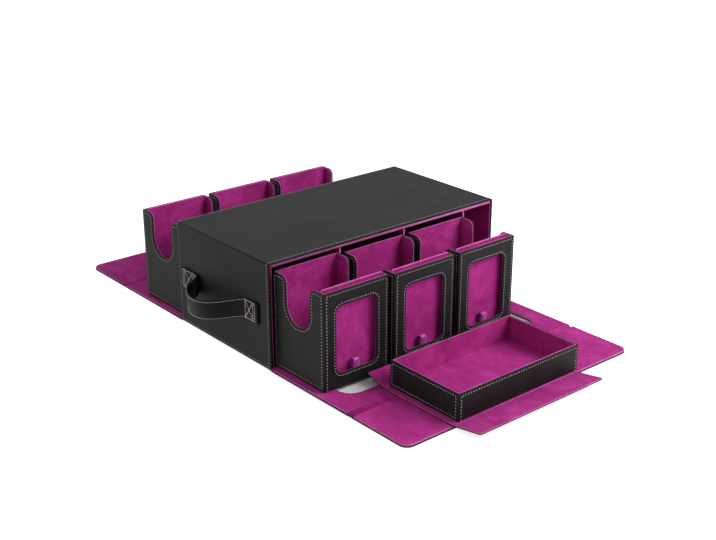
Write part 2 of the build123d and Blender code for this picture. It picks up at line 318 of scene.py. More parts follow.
def boardMesh(outlines, depth, edge, rimSlot=0):
    # a board with rounded edges, as a filled and bevelled outline
    curve = bpy.data.curves.new("outline", "CURVE")
    curve.dimensions = "2D"
    curve.fill_mode = "BOTH"
    curve.extrude = depth / 2 - edge
    curve.bevel_depth = edge
    curve.bevel_resolution = 2
    curve.offset = -edge
    for points in outlines:
        spline = curve.splines.new("POLY")
        spline.points.add(len(points) - 1)
        for target, (x, y) in zip(spline.points, points):
            target.co = (x, y, 0, 1)
        spline.use_cyclic_u = True
    holder = bpy.data.objects.new("outline", curve)
    mesh = bpy.data.meshes.new_from_object(holder)
    bpy.data.objects.remove(holder)
    bpy.data.curves.remove(curve)
    shape = bmesh.new()
    shape.from_mesh(mesh)
    bmesh.ops.remove_doubles(shape, verts=shape.verts, dist=1e-3)
    bmesh.ops.translate(shape, verts=shape.verts, vec=(0, 0, depth / 2))
    bmesh.ops.recalc_face_normals(shape, faces=shape.faces)
    for face in shape.faces:
        flat = abs(face.normal.z)
        face.smooth = flat < 0.999
        # rim faces take slot rimSlot, which on the linings holds the lighter suede, a painted highlight
        face.material_index = rimSlot if flat < 0.95 else 0
    shape.to_mesh(mesh)
    shape.free()
    return mesh


def addBoard(piece, place, outlines, depth, edge, rimSlot=0):
    mesh = boardMesh(outlines, depth, edge, rimSlot)
    mesh.transform(place)
    piece.from_mesh(mesh)
    bpy.data.meshes.remove(mesh)


def pieceObject(piece, name, materials):
    mesh = meshFrom(piece, name)
    mesh.transform(Matrix.Scale(mm, 4))
    for material in materials:
        mesh.materials.append(material)
    return linkObject(name, mesh)


def nameParts(nodes):
    if nodes:
        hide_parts(*nodes)


def finishPiece(piece, name, materials, body, nodes=()):
    made = pieceObject(piece, name, materials)
    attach(made, body)
    nameParts(nodes)
    return made


# each stitch is drawn thicker and further from the next than real thread, so that it shows
stitching = {
    "pitchMm": 3.7,
    "lengthMm": 1.9,
    "threadMm": 0.9,
    "holeMm": 0.8,
    "lengthSpread": 0.1,    # share by which one stitch differs from the next
    "liftMm": 0.12,         # how far the thread's middle stands over the board
    "rowInsetMm": 3.2,      # from a board's edge to the row
    "seed": 7,
}


def stitchTree():
    # an oval bead of thread at every pitch along each line
    tree = bpy.data.node_groups.new("stitchRow", "GeometryNodeTree")
    tree.interface.new_socket("Geometry", in_out="INPUT", socket_type="NodeSocketGeometry")
    for title, kind in (("Pitch", "NodeSocketFloat"), ("Stitch length", "NodeSocketFloat"),
                        ("Thread thickness", "NodeSocketFloat"), ("Thread", "NodeSocketMaterial"),
                        ("Hole size", "NodeSocketFloat"), ("Hole", "NodeSocketMaterial"),
                        ("Seed", "NodeSocketInt")):
        tree.interface.new_socket(title, in_out="INPUT", socket_type=kind)
    tree.interface.new_socket("Geometry", in_out="OUTPUT", socket_type="NodeSocketGeometry")
    source = addNode(tree, "NodeGroupInput").outputs
    line = addNode(tree, "GeometryNodeMeshToCurve", links={"Mesh": source["Geometry"]})
    points = addNode(tree, "GeometryNodeCurveToPoints", {"mode": "LENGTH"},
                     {"Curve": line.outputs["Curve"], "Length": source["Pitch"]})
    bead = addNode(tree, "GeometryNodeMeshUVSphere", {"Segments": 6, "Rings": 4, "Radius": 0.5})
    wobble = addNode(tree, "FunctionNodeRandomValue", {"data_type": "FLOAT"}, {"Seed": source["Seed"]})
    wobble.inputs[2].default_value = 1 - stitching["lengthSpread"]
    wobble.inputs[3].default_value = 1 + stitching["lengthSpread"]
    length = addNode(tree, "ShaderNodeMath", {"operation": "MULTIPLY"},
                     {0: source["Stitch length"], 1: wobble.outputs[1]})
    size = addNode(tree, "ShaderNodeCombineXYZ",
                   links={"X": source["Thread thickness"], "Y": source["Thread thickness"],
                          "Z": length.outputs[0]})
    placed = addNode(tree, "GeometryNodeInstanceOnPoints",
                     links={"Points": points.outputs["Points"], "Instance": bead.outputs["Mesh"],
                            "Rotation": points.outputs["Rotation"], "Scale": size.outputs["Vector"]})
    dressed = addNode(tree, "GeometryNodeSetMaterial", links={"Geometry": placed.outputs["Instances"],
                                                              "Material": source["Thread"]})
    # a black bead half way to the next stitch: painted shade for the needle hole
    dimple = addNode(tree, "GeometryNodeMeshUVSphere", {"Segments": 6, "Rings": 3, "Radius": 0.5})
    holes = addNode(tree, "GeometryNodeInstanceOnPoints",
                    links={"Points": points.outputs["Points"], "Instance": dimple.outputs["Mesh"],
                           "Rotation": points.outputs["Rotation"], "Scale": source["Hole size"]})
    halfPitch = addNode(tree, "ShaderNodeMath", {"operation": "MULTIPLY", 1: 0.5}, {0: source["Pitch"]})
    ahead = addNode(tree, "ShaderNodeCombineXYZ", links={"Z": halfPitch.outputs[0]})
    moved = addNode(tree, "GeometryNodeTranslateInstances",
                    links={"Instances": holes.outputs["Instances"], "Translation": ahead.outputs["Vector"]})
    shaded = addNode(tree, "GeometryNodeSetMaterial", links={"Geometry": moved.outputs["Instances"],
                                                             "Material": source["Hole"]})
    both = addNode(tree, "GeometryNodeJoinGeometry")
    for part in (shaded, dressed):
        tree.links.new(part.outputs["Geometry"], both.inputs["Geometry"])
    solid = addNode(tree, "GeometryNodeRealizeInstances", links={"Geometry": both.outputs["Geometry"]})
    smooth = addNode(tree, "GeometryNodeSetShadeSmooth", links={"Geometry": solid.outputs["Geometry"]})
    addNode(tree, "NodeGroupOutput", links={"Geometry": smooth.outputs["Geometry"]})
    return tree


stitchRow = stitchTree()


def stitchPiece(name, rows, thread, body, sizes=stitching):
    # rows: (points in millimetres, closed) lines that the needle follows
    mesh = bpy.data.meshes.new(name + "Lines")
    verts, edges = [], []
    for points, closed in rows:
        first = len(verts)
        verts += [Vector(p) * mm for p in points]
        edges += [(first + i, first + i + 1) for i in range(len(points) - 1)]
        if closed:
            edges.append((len(verts) - 1, first))
    mesh.from_pydata(verts, edges, [])
    lines = linkObject(name + "Lines", mesh)
    modifier = lines.modifiers.new("stitches", "NODES")
    modifier.node_group = stitchRow
    values = {"Pitch": sizes["pitchMm"] * mm, "Stitch length": sizes["lengthMm"] * mm,
              "Thread thickness": sizes["threadMm"] * mm, "Thread": thread, "Seed": sizes["seed"],
              "Hole size": sizes["holeMm"] * mm, "Hole": needleHolePaintedShade}
    for item in stitchRow.interface.items_tree:
        if item.name in values and item.in_out == "INPUT":
            modifier[item.identifier] = values[item.name]
    made = bpy.data.meshes.new_from_object(lines.evaluated_get(bpy.context.evaluated_depsgraph_get()))
    made.name = name
    bpy.data.objects.remove(lines)
    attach(linkObject(name, made), body)


def onBoard(place, points, lift=stitching["liftMm"]):
    return [place @ Vector((x, y, lift)) for x, y in points]


deckLow, deckHigh = boxMm("front_deck_1_shell")
deckLiningLow = boxMm("front_deck_1_lining")[0]
backingLow, backingHigh = boxMm("front_deck_1_backing")
ribbonLow, ribbonHigh = boxMm("front_deck_1_ribbon")
deckBox = {
    "width": deckHigh.x - deckLow.x,
    "depth": deckHigh.y - deckLow.y,
    "height": deckHigh.z - deckLow.z,
    "board": deckLiningLow.x - deckLow.x,
    "lining": backingLow.x - deckLiningLow.x,
    "frontLining": 0.9,
    "backingAt": backingLow.y - deckLow.y,
    "backing": backingHigh.y - backingLow.y,
    "backingTop": backingHigh.z - deckLow.z,
    "edge": 0.75,
    "liningEdge": 0.5,
    "frontLiningEdge": 0.4,
    "backingEdge": 1.2,
    "cornerNotch": 0.8,     # step where two boards meet at an outside corner
    "rimRadius": 1.5,       # upper corners of the walls
    "stitchFoot": 2.2,      # lower end of the rows over the box's underside
    "windowWidth": 57.0,
    "windowHeight": 80.0,
    "windowBottom": 17.0,
    "windowRadius": 8.0,
    "rimReveal": -0.5,      # lining stays this far back from the window's edge
    "notchWidth": 43.0,
    "notchDepth": 52.7,
    "notchLip": 8.0,
    "notchReveal": 0.35,    # lining stops this far below the board's rim
    "ribbonWidth": ribbonHigh.x - ribbonLow.x,
    "ribbonTop": ribbonHigh.z - deckLow.z,
    "ribbonWall": 0.45,
    "ribbonBulge": 2.2,     # how far the loop's front stands before the slot
}


def sideOutline(d, y0, y1, z0, inset=0.0, reveal=0.0):
    # side wall with its finger notch; the row of stitches is the same line drawn inset
    half = d["notchWidth"] / 2 + inset + reveal
    lip = d["notchLip"] - inset - reveal
    rim = d["rimRadius"]
    top = d["height"] - inset - reveal
    middle = d["depth"] / 2
    low = d["height"] - d["notchDepth"] + d["notchWidth"] / 2
    points = [(y0 + inset, z0 + inset), (y1 - inset, z0 + inset)]
    points += arcPoints((y1 - inset - rim, top - rim), rim, 0, 90, 3)
    points += arcPoints((middle + half + lip, top - lip), lip, 90, 180)
    points += arcPoints((middle, low), half, 0, -180, 20)
    points += arcPoints((middle - half - lip, top - lip), lip, 0, 90)
    points += arcPoints((y0 + inset + rim, top - rim), rim, 90, 180, 3)
    return points


def windowOutline(d, inset=0.0):
    half = d["windowWidth"] / 2 - inset
    low = d["windowBottom"] + inset
    high = d["windowBottom"] + d["windowHeight"] - inset
    return roundRect(-half, low, half, high, [d["windowRadius"] - inset] * 4, 8)


def deckShellMesh(d):
    piece = bmesh.new()
    half, step, board = d["width"] / 2, d["cornerNotch"], d["board"]
    top, back = d["height"], d["depth"]
    front = panelPlace((0, board, 0), (1, 0, 0))
    rim = d["rimRadius"]
    face = roundRect(-half + step, step, half - step, top, (0, 0, rim, rim), 3)
    addBoard(piece, front, [face, windowOutline(d)], board, d["edge"])
    rear = panelPlace((0, back - board, 0), (-1, 0, 0))
    addBoard(piece, rear, [face], board, d["edge"])
    for side in (-1, 1):
        # the outline runs along y, so the left wall is drawn from behind
        place = panelPlace((side * (half - board), 0, 0), (0, side, 0))
        outline = [(side * y, z) for y, z in sideOutline(d, step, back - step, step)]
        addBoard(piece, place, [outline], board, d["edge"])
    floor = panelPlace((0, 0, 0), (1, 0, 0), (0, 1, 0))
    addBoard(piece, floor, [roundRect(-half + step, step, half - step, back - step)], board, d["edge"])
    return meshFrom(piece, "deckShell")


def deckLiningMesh(d):
    piece = bmesh.new()
    board, lining, edge = d["board"], d["lining"], d["liningEdge"]
    half, back, top = d["width"] / 2 - board, d["depth"] - board, d["height"]
    front = panelPlace((0, board + d["frontLining"], 0), (1, 0, 0))
    face = roundRect(-half, board, half, top)
    addBoard(piece, front, [face, windowOutline(d, d["rimReveal"])], d["frontLining"],
             d["frontLiningEdge"], 1)
    rear = panelPlace((0, back - lining, 0), (-1, 0, 0))
    addBoard(piece, rear, [face], lining, edge, 1)
    for side in (-1, 1):
        place = panelPlace((side * (half - lining), 0, 0), (0, side, 0))
        outline = [(side * y, z) for y, z in sideOutline(d, board, back, board, 0.0, d["notchReveal"])]
        addBoard(piece, place, [outline], lining, edge, 1)
    floor = panelPlace((0, 0, board), (1, 0, 0), (0, 1, 0))
    addBoard(piece, floor, [roundRect(-half, board, half, back)], lining, edge, 1)
    return meshFrom(piece, "deckLining")


def deckBackingMesh(d):
    piece = bmesh.new()
    half = d["width"] / 2 - d["board"] - d["lining"]
    place = panelPlace((0, d["backingAt"] + d["backing"], 0), (1, 0, 0))
    face = roundRect(-half, d["board"] + d["lining"], half, d["backingTop"], (0, 0, 2, 2), 3)
    addBoard(piece, place, [face], d["backing"], d["backingEdge"], 1)
    return meshFrom(piece, "deckBacking")


def ribbonMesh(d):
    # a ribbon folded into a soft loop, its two ends held under the slot's floor
    wall = d["ribbonWall"]
    slotFront, slotBack = d["board"] + d["frontLining"], d["backingAt"] - wall
    bulge = slotFront - d["ribbonBulge"]
    top = d["ribbonTop"] - wall / 2
    bottom = d["board"] + d["lining"]
    sill = d["windowBottom"]
    # (y, z) of the loop: up from the floor, out over the sill, back over the top and down
    shape = ((slotFront + 0.8, bottom), (slotFront + 0.6, sill - 5.0), (slotFront - 0.4, sill - 0.2),
             (bulge, top - 4.6), (bulge + 0.7, top - 1.3), (bulge + 2.4, top), (slotBack - 1.1, top - 1.2),
             (slotBack - 0.5, top - 4.5), (slotBack - 0.2, sill - 5.0), (slotBack - 0.2, bottom))
    line = [(p.x, p.y) for p in smoothThrough([Vector(p) for p in shape], 4)]
    piece = bmesh.new()
    half = d["ribbonWidth"] / 2
    rows = []
    for y, z in line:
        rows.append([piece.verts.new((x, y, z)) for x in (-half, -half / 2, 0, half / 2, half)])
    for a, b in zip(rows, rows[1:]):
        for i in range(4):
            piece.faces.new((a[i], a[i + 1], b[i + 1], b[i])).smooth = True
    return meshFrom(piece, "ribbon")


def deckRows(d, inset):
    # lines of stitches on the four walls, in the deck's own frame
    half, top, back = d["width"] / 2, d["height"], d["depth"]
    step = d["cornerNotch"]
    low = d["stitchFoot"]
    sunk = -stitching["liftMm"]     # the side rows clear the dividers
    front = panelPlace((0, 0, 0), (1, 0, 0))
    rear = panelPlace((0, back, 0), (-1, 0, 0))
    openRow = [(-half + step + inset, low), (-half + step + inset, top - inset),
               (half - step - inset, top - inset), (half - step - inset, low)]
    rows = [(onBoard(front, openRow), False), (onBoard(rear, openRow), False),
            (onBoard(front, windowOutline(d, -inset + 0.4)), True)]
    for side in (-1, 1):
        place = panelPlace((side * half, 0, 0), (0, side, 0))
        outline = [(side * y, z) for y, z in sideOutline(d, step, back - step, step, inset)]
        rows.append((onBoard(place, outline, sunk), True))
    return rows


deckParts = {
    "shell": (deckShellMesh(deckBox), [leatherette], "leatherette"),
    "lining": (deckLiningMesh(deckBox), [suede, suedeEdgeHighlight], "suede_lining"),
    "backing": (deckBackingMesh(deckBox), [suede, suedeEdgeHighlight], "suede_lining"),
    "ribbon": (ribbonMesh(deckBox), [satin], "ribbon"),
}
deckStitches = deckRows(deckBox, stitching["rowInsetMm"])

for row in ("front", "rear"):
    for number in (1, 2, 3):
        deck = f"{row}_deck_{number}"
        low, high = boxMm(deck + "_shell")
        middleX = (low.x + high.x) / 2
        if row == "front":
            stand = Matrix.Translation((middleX, low.y, low.z))
        else:
            stand = Matrix.Translation((middleX, high.y, low.z)) @ Matrix.Rotation(pi, 4, "Z")
        for part, (mesh, materials, slotName) in deckParts.items():
            piece = bmesh.new()
            piece.from_mesh(mesh)
            bmesh.ops.transform(piece, matrix=stand, verts=piece.verts)
            made = finishPiece(piece, f"{deck}_{part}_made", materials, deck, [f"{deck}_{part}"])
            if part == "ribbon":
                thick = made.modifiers.new("thickness", "SOLIDIFY")
                thick.thickness = deckBox["ribbonWall"] * mm
                thick.offset = 0
        rows = [([stand @ p for p in points], closed) for points, closed in deckStitches]
        stitchPiece(deck + "_stitches", rows, greyThread, deck)
print("deck boxes made")


caseLow, caseHigh = boxMm("casing_shell")
caseLiningLow, caseLiningHigh = boxMm("casing_lining")
partitionLow, partitionHigh = boxMm("row_partition")
casing = {
    "sideBoard": 3.5,
    "topBoard": 2.1,
    "floorBoard": caseLiningLow.z - caseLow.z,
    "edge": 0.9,
    "liningEdge": 0.8,
    "cornerNotch": 1.0,
    "cornerRadius": 0.8,
    "dividerEdge": 1.2,
    "stitchFoot": 2.2,      # lower end of the rows round the open sides
    "stitchTurn": 1.5,      # where they bend over the top's edge
    "endRowHeight": 4.4,    # row along the foot of each end wall
    "slitY": -72.1,         # middle of the strap's slit
    "slitZ": 65.0,
    "slitWidth": 6.0,
    "slitHeight": 26.1,
    "slitRadius": 2.0,
    "slitDepth": 1.4,
    "slitFloorHalf": (5.0, 15.0),   # board behind the slit, along the wall and up it
}


def makeCasing(c):
    board, edge, step = c["sideBoard"], c["edge"], c["cornerNotch"]
    roof = c["topBoard"]
    width, depth, height = caseHigh.x, caseHigh.y, caseHigh.z
    piece = bmesh.new()
    corners = (c["cornerRadius"],) * 4
    wall = roundRect(-depth, step, depth, height - step, corners, 3)
    slit = roundRect(c["slitY"] - c["slitWidth"] / 2, c["slitZ"] - c["slitHeight"] / 2,
                     c["slitY"] + c["slitWidth"] / 2, c["slitZ"] + c["slitHeight"] / 2,
                     (c["slitRadius"],) * 4, 4)
    right = panelPlace((width - board, 0, 0), (0, 1, 0))
    addBoard(piece, right, [wall], board, edge)
    left = panelPlace((-width + board, 0, 0), (0, -1, 0))
    addBoard(piece, left, [wall, [(-y, z) for y, z in slit]], board, edge)
    along, rise = c["slitFloorHalf"]
    slitFloor = roundRect(-c["slitY"] - along, c["slitZ"] - rise, -c["slitY"] + along, c["slitZ"] + rise)
    addBoard(piece, left, [slitFloor], board - c["slitDepth"], 0.1)
    cap = roundRect(-width + step, -depth, width - step, depth, corners, 3)
    top = panelPlace((0, 0, height - roof), (1, 0, 0), (0, 1, 0))
    addBoard(piece, top, [cap], roof, edge)
    bottom = panelPlace((0, 0, 0), (1, 0, 0), (0, 1, 0))
    addBoard(piece, bottom, [cap], c["floorBoard"], edge)
    finishPiece(piece, "casing_shell_made", [leatherette], "casing", ["casing_shell"])

    piece = bmesh.new()
    low, high = caseLiningLow, caseLiningHigh
    innerLeft, innerRight = partitionLow.x, -partitionLow.x
    innerFloor, innerTop = partitionLow.z, partitionHigh.z
    plate = roundRect(low.y, low.z, high.y, height - roof)
    skin = width - board - innerRight
    addBoard(piece, panelPlace((innerRight, 0, 0), (0, 1, 0)), [plate], skin, skin / 2 - 0.05)
    addBoard(piece, panelPlace((innerLeft, 0, 0), (0, -1, 0)), [plate], skin, skin / 2 - 0.05)
    sheetOutline = roundRect(innerLeft, low.y, innerRight, high.y)
    addBoard(piece, panelPlace((0, 0, innerTop), (1, 0, 0), (0, 1, 0)), [sheetOutline],
             height - roof - innerTop, c["liningEdge"], 1)
    addBoard(piece, panelPlace((0, 0, low.z), (1, 0, 0), (0, 1, 0)), [sheetOutline],
             innerFloor - low.z, c["liningEdge"], 1)
    finishPiece(piece, "casing_lining_made", [suede, suedeEdgeHighlight], "casing",
                ["casing_lining", "keeper_plates"])

    for node in ("row_partition", "tray_bay_wall", "front_divider_1", "front_divider_2",
                 "rear_divider_1", "rear_divider_2"):
        low, high = boxMm(node)
        piece = bmesh.new()
        if node == "row_partition":
            place = panelPlace((0, low.y, 0), (-1, 0, 0))
            outline = roundRect(-high.x, low.z, -low.x, high.z)
            thick = high.y - low.y
        else:
            place = panelPlace((low.x, 0, 0), (0, 1, 0))
            outline = roundRect(low.y, low.z, high.y, high.z)
            thick = high.x - low.x
        addBoard(piece, place, [outline], thick, c["dividerEdge"], 1)
        finishPiece(piece, node + "_made", [suede, suedeEdgeHighlight], "casing", [node])

    inset, lift = stitching["rowInsetMm"], stitching["liftMm"]
    foot, turn, low = c["stitchFoot"], c["stitchTurn"], c["endRowHeight"]
    rows = []
    for side in (-1, 1):
        y = side * (depth - inset)
        loop = [(-width - lift, y, foot), (-width - lift, y, height - turn), (-width + turn, y, height + lift),
                (width - turn, y, height + lift), (width + lift, y, height - turn), (width + lift, y, foot)]
        rows.append((loop, False))
    for x in (-width - lift, width + lift):
        rows.append(([(x, -depth + inset, low), (x, depth - inset, low)], False))
    stitchPiece("casing_stitches", rows, caseThread, "casing")


makeCasing(casing)
print("casing made")


flap = {
    "edge": 0.6,
    "liningEdge": 0.9,
    "cornerRadius": 11.0,
    "windowHalf": 150.0,
    "windowNear": 24.0,
    "windowFar": 106.5,
    "windowRadius": 18.0,
    "rowInset": 4.5,
    "rowStop": 2.0,         # rows end this far before a fold
    "skin": 0.6,            # thickness of the folded cloth
    "board": 1.3,           # black board under the padded lining
    "liningInset": 0.5,
    "creaseDip": 2.3,
    "hingeDip": 1.4,
    "liningLap": 1.4,       # how far a fold's cloth runs over the linings beside it
    "clothLap": 0.8,        # and over the boards beneath
    "liningRise": 0.03,     # the lapped lining lies just over its neighbours
    "clothRise": 0.1,
    "clothInset": 0.6,      # the cloth ends this far inside the case's ends
    "foldSteps": 18,
}


def flapPlace(side, height):
    # plan frame at an open side: x along the flap, y outwards
    return panelPlace((0, side * caseHigh.y, height), (side, 0, 0), (0, side, 0))


def foldStrip(name, side, start, end, flat, dip, material, bodies, nodes=(), slot=None):
    # cloth across a fold: level ends, sunk by dip in the middle
    half = caseHigh.x - flap["clothInset"]
    line = []
    for i in range(flap["foldSteps"] + 1):
        share = i / flap["foldSteps"]
        line.append((start + (end - start) * share, flat - dip * math.sin(pi * share) ** 4))
    piece = bmesh.new()
    rows = []
    for y, z in line:
        rows.append([piece.verts.new((x, side * (caseHigh.y + y), z)) for x in (-half, 0, half)])
    for a, b in zip(rows, rows[1:]):
        for i in range(2):
            corners = (a[i], a[i + 1], b[i + 1], b[i])
            piece.faces.new(corners if side > 0 else corners[::-1]).smooth = True
    made = pieceObject(piece, name, [material])
    thick = made.modifiers.new("thickness", "SOLIDIFY")
    thick.thickness = flap["skin"] * mm
    thick.offset = -1
    bpy.context.view_layer.update()
    solid = bpy.data.meshes.new_from_object(made.evaluated_get(bpy.context.evaluated_depsgraph_get()))
    made.modifiers.clear()
    made.data = solid
    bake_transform(made)
    nameParts(nodes)


def makeFlap(side, row, f):
    windowed = row == "front"
    low, high = boxMm(f"{row}_flap_inner_panel")
    outerLow, outerHigh = boxMm(f"{row}_flap_outer_panel")
    top = boxMm(f"{row}_flap_inner_lining")[1].z
    face = caseHigh.y
    innerStart, innerEnd = sorted((abs(low.y) - face, abs(high.y) - face))
    outerStart, outerEnd = sorted((abs(outerLow.y) - face, abs(outerHigh.y) - face))
    half, board = high.x, f["board"]
    inset = f["liningInset"]
    window = roundRect(-f["windowHalf"], f["windowNear"], f["windowHalf"], f["windowFar"],
                       (f["windowRadius"],) * 4, 10)
    corner = f["cornerRadius"]
    for layer, base, depth, gap, edge, materials, rim, slotName in (
            ("panel", 0.0, board, 0.0, f["edge"], [leatherette], 0, "leatherette"),
            ("lining", board, top - board, inset, f["liningEdge"], [suede, suedeEdgeHighlight], 1, "suede_lining")):
        piece = bmesh.new()
        outlines = [roundRect(-half + gap, innerStart + gap, half - gap, innerEnd - gap)]
        if windowed:
            outlines.append(window)
        addBoard(piece, flapPlace(side, base), outlines, depth, edge, rim)
        finishPiece(piece, f"{row}_flap_inner_{layer}_made", materials, f"{row}_flap_inner",
                    [f"{row}_flap_inner_{layer}"])
        piece = bmesh.new()
        outline = roundRect(-half + gap, outerStart + gap, half - gap, outerEnd - gap,
                            (0, 0, corner - gap, corner - gap), 8)
        addBoard(piece, flapPlace(side, base), [outline], depth, edge, rim)
        nodes = [f"{row}_flap_outer_{layer}"]
        if layer == "panel":
            nodes.append(f"{row}_flap_magnets")
        finishPiece(piece, f"{row}_flap_outer_{layer}_made", materials, f"{row}_flap_outer", nodes)
    # cloth over and under the hinge and the crease
    over, under = inset + f["liningLap"], f["clothLap"]
    inner, outer = f"{row}_flap_inner", f"{row}_flap_outer"
    folds = (("hinge", ("casing", inner), (-0.8, innerStart + over), (-0.6, innerStart + under), f["hingeDip"]),
             ("crease", (inner, outer), (innerEnd - over, outerStart + over),
              (innerEnd - under, outerStart + under), f["creaseDip"]))
    for fold, bodies, upper, lower, dip in folds:
        foldStrip(f"{row}_flap_{fold}_lining", side, *upper, top + f["liningRise"], dip, suede, bodies,
                  slot="suede_lining")
        foldStrip(f"{row}_flap_{fold}_cloth", side, *lower, f["skin"] + f["clothRise"], 0, leatherette, bodies,
                  [f"{row}_flap_{fold}_strip"], "leatherette")
    # tone on tone rows round each panel's lining
    rowIn = f["rowInset"]
    place = flapPlace(side, top)
    stop = f["rowStop"]
    leftRow = [(-half + rowIn, innerEnd - stop), (-half + rowIn, innerStart + stop)]
    rightRow = [(half - rowIn, innerStart + stop), (half - rowIn, innerEnd - stop)]
    rows = [(onBoard(place, leftRow), False), (onBoard(place, rightRow), False)]
    stitchPiece(f"{row}_flap_inner_stitches", rows, pinkThread, inner)
    outline = roundRect(-half + rowIn, outerStart + stop, half - rowIn, outerEnd - rowIn,
                        (0, 0, corner - rowIn, corner - rowIn), 8)
    rows = [(onBoard(place, outline[1:] + outline[:1]), False)]
    stitchPiece(f"{row}_flap_outer_stitches", rows, pinkThread, outer)


makeFlap(-1, "front", flap)
makeFlap(1, "rear", flap)
print("flaps made")


trayLow, trayHigh = boxMm("tray_shell")
trayLiningLow, trayLiningHigh = boxMm("tray_lining")
tray = {
    "board": trayLiningLow.x - trayLow.x,
    "lining": 1.2,
    "edge": 0.75,
    "liningEdge": 0.5,
    "cornerNotch": 0.8,
    "rimRadius": 1.2,
    "stitchFoot": 1.6,
}


def fourWalls(piece, low, high, wall, edge, step, rim=0):
    # front, back, right and left walls of an open tray, and its floor
    x0, x1, y0, y1, z0, z1 = low.x, high.x, low.y, high.y, low.z, high.z
    upper = (0, 0, tray["rimRadius"], tray["rimRadius"])
    for origin, across, start, end in (((0, y0 + wall, 0), (1, 0, 0), x0, x1),
                                       ((0, y1 - wall, 0), (-1, 0, 0), -x1, -x0),
                                       ((x1 - wall, 0, 0), (0, 1, 0), y0, y1),
                                       ((x0 + wall, 0, 0), (0, -1, 0), -y1, -y0)):
        outline = roundRect(start + step, z0 + step, end - step, z1, upper, 3)
        addBoard(piece, panelPlace(origin, across), [outline], wall, edge, rim)
    floor = roundRect(x0 + step, y0 + step, x1 - step, y1 - step)
    addBoard(piece, panelPlace((0, 0, z0), (1, 0, 0), (0, 1, 0)), [floor], wall, min(edge, wall / 2 - 0.05), rim)


def makeTray(t):
    piece = bmesh.new()
    fourWalls(piece, trayLow, trayHigh, t["board"], t["edge"], t["cornerNotch"])
    finishPiece(piece, "tray_shell_made", [leatherette], "tray", ["tray_shell"])
    piece = bmesh.new()
    fourWalls(piece, trayLiningLow, trayLiningHigh, t["lining"], t["liningEdge"], 0.0, 1)
    finishPiece(piece, "tray_lining_made", [suede, suedeEdgeHighlight], "tray", ["tray_lining"])
    inset, lift = stitching["rowInsetMm"], stitching["liftMm"]
    x0, x1, y0, y1, z0, z1 = trayLow.x, trayHigh.x, trayLow.y, trayHigh.y, trayLow.z, trayHigh.z
    a = inset + t["cornerNotch"]
    top, foot = z1 - inset, z0 + t["stitchFoot"]
    rows = []
    for y in (y0 - lift, y1 + lift):
        rows.append(([(x0 + a, y, foot), (x0 + a, y, top), (x1 - a, y, top), (x1 - a, y, foot)], False))
    for x in (x0 - lift, x1 + lift):
        rows.append(([(x, y0 + a, z0 + a), (x, y0 + a, top), (x, y1 - a, top), (x, y1 - a, z0 + a)], True))
    stitchPiece("tray_stitches", rows, greyThread, "tray")


makeTray(tray)
print("tray made")


coverLow, coverHigh = boxMm("cover_base_panel")
coverTop = boxMm("cover_base_lining")[1].z
cover = {
    "edge": 0.35,
    "liningEdge": 0.6,
    "skin": 1.4,            # padded lining, which curls over the board's edge
    "liningInset": 0.2,
    "cornerRadius": 2.0,
    "foldGap": 0.35,
    "rowInset": 3.6,
    "stripRowStart": 1.5,   # from the fold
    "baseRowStart": 1.0,
    "backLength": 29.4,
    "backRise": 15.6,
    "frontLength": 38.0,
    "frontRise": 9.7,
}


def makeCover(c):
    top, skin, inset = coverTop, c["skin"], c["liningInset"]
    board = top - coverLow.z - skin
    middle = (coverLow.x + coverHigh.x) / 2
    half = (coverHigh.x - coverLow.x) / 2
    layers = (("panel", board, board + skin, 0.0, c["edge"], [leatherette], 0, "leatherette"),
              ("lining", skin, skin, inset, c["liningEdge"], [suede, suedeEdgeHighlight], 1, "suede_lining"))
    for layer, depth, down, gap, edge, materials, rim, slotName in layers:
        piece = bmesh.new()
        outline = roundRect(-half + gap, coverLow.y, half - gap, coverHigh.y)
        addBoard(piece, panelPlace((middle, 0, top - down), (1, 0, 0), (0, 1, 0)), [outline], depth, edge, rim)
        finishPiece(piece, f"cover_base_{layer}_made", materials, "cover", [f"cover_base_{layer}"])
    for side, name, crease, length, rise in ((1, "back", coverHigh.y, c["backLength"], c["backRise"]),
                                             (-1, "front", coverLow.y, c["frontLength"], c["frontRise"])):
        lean = math.radians(rise)
        outwards = Vector((0, side * math.cos(lean), math.sin(lean)))
        place = panelPlace((middle, crease, top), (side, 0, 0), outwards)
        for layer, depth, down, gap, edge, materials, rim, slotName in layers:
            piece = bmesh.new()
            radius = c["cornerRadius"] - gap
            outline = roundRect(-half + gap, c["foldGap"], half - gap, length - gap, (0, 0, radius, radius), 5)
            addBoard(piece, place @ Matrix.Translation((0, 0, -down)), [outline], depth, edge, rim)
            finishPiece(piece, f"cover_{name}_strip_{layer}_made", materials, f"cover_{name}_strip",
                        [f"cover_{name}_strip_{layer}"])
        rowIn, start = c["rowInset"], c["stripRowStart"]
        row = [(-half + rowIn, start), (-half + rowIn, length - rowIn), (half - rowIn, length - rowIn),
               (half - rowIn, start)]
        stitchPiece(f"cover_{name}_stitches", [(onBoard(place, row), False)], pinkThread, f"cover_{name}_strip")
    z, start = top + stitching["liftMm"], c["baseRowStart"]
    rows = []
    for x in (coverLow.x + c["rowInset"], coverHigh.x - c["rowInset"]):
        rows.append(([(x, coverLow.y + start, z), (x, coverHigh.y - start, z)], False))
    stitchPiece("cover_base_stitches", rows, pinkThread, "cover")


makeCover(cover)
print("cover made")


